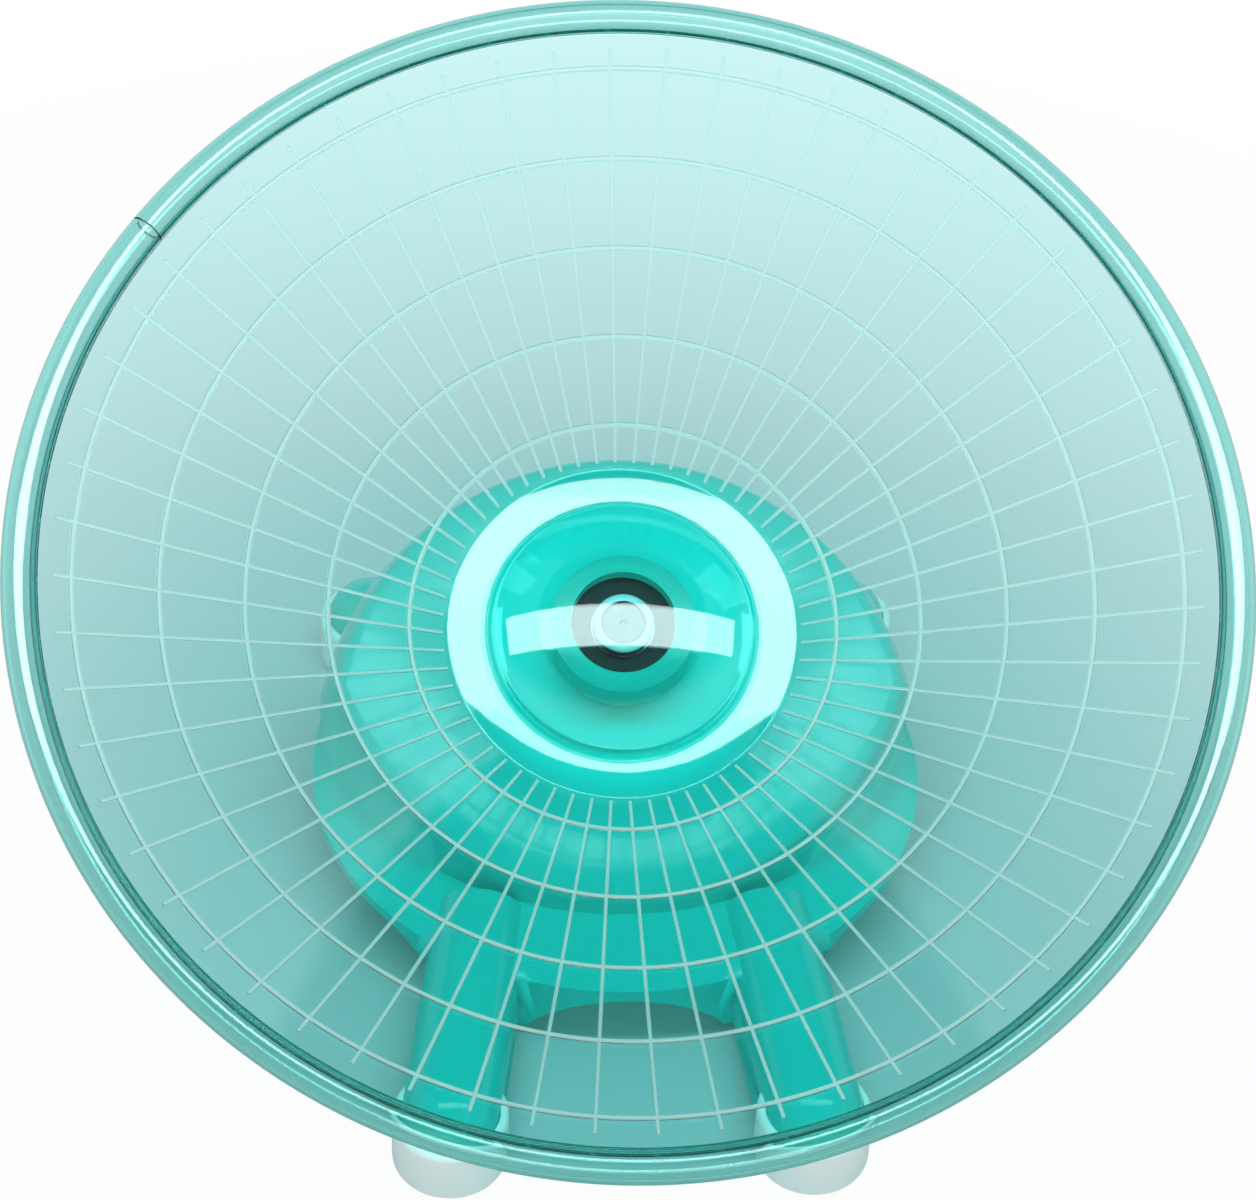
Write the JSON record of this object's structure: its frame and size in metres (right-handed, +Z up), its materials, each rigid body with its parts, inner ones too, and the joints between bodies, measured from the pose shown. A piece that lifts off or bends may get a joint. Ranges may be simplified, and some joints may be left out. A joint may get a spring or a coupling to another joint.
{
  "type": "small animal running disc",
  "caption": "Tilted clear dish with grip ribs that spins freely on a ball bearing above a low hollow stand on rubber feet, for a small animal to run on.",
  "frame": {"origin": "on the floor below the centre of the dish's rim", "axes": "+Z up, -Y towards the low front of the dish, +X to the right seen from the front"},
  "size_m": [0.3, 0.2658, 0.1876],
  "materials": {
    "clear_dish": "polished injection-moulded clear turquoise polystyrene",
    "clear_edging": "glossy extruded clear turquoise vinyl tube",
    "clear_stand": "polished injection-moulded clear turquoise polystyrene",
    "bearing_steel": "ground bearing steel",
    "bearing_ball_steel": "polished bearing balls",
    "nylon_cage": "moulded natural nylon",
    "black_seal_rubber": "moulded black nitrile rubber",
    "white_acetal": "turned white acetal",
    "zinc_plated_steel": "bright zinc-plated steel",
    "grey_rubber": "moulded pale grey rubber"
  },
  "bodies": {
    "stand": {"stand_shell": "clear_stand", "axle_pin": "white_acetal", "axle_spacer": "white_acetal", "axle_washer": "zinc_plated_steel", "axle_screw": "zinc_plated_steel", "bearing_inner_ring": "bearing_steel", "front_left_foot": "grey_rubber", "front_right_foot": "grey_rubber", "rear_left_foot": "grey_rubber", "rear_right_foot": "grey_rubber"},
    "disc": {"running_disc": "clear_dish", "rim_edging": "clear_edging", "bearing_outer_ring": "bearing_steel", "bearing_upper_seal": "black_seal_rubber", "bearing_lower_seal": "black_seal_rubber", "bearing_retainer": "clear_dish"},
    "ball_set": {"bearing_balls": "bearing_ball_steel", "bearing_cage": "nylon_cage"}
  },
  "joints": [
    {"name": "disc_spin", "type": "hinge", "parent": "stand", "child": "disc", "pos_m": [0, 0.02476, 0.0684], "axis": [0, -0.4695, 0.8829], "continuous": true},
    {"name": "ball_set_orbit", "type": "hinge", "parent": "stand", "child": "ball_set", "pos_m": [0, 0.02476, 0.0684], "axis": [0, -0.4695, 0.8829], "continuous": true}
  ],
  "couplings": [
    {"joint": "ball_set_orbit", "follows": "disc_spin", "ratio": 0.619}
  ]
}
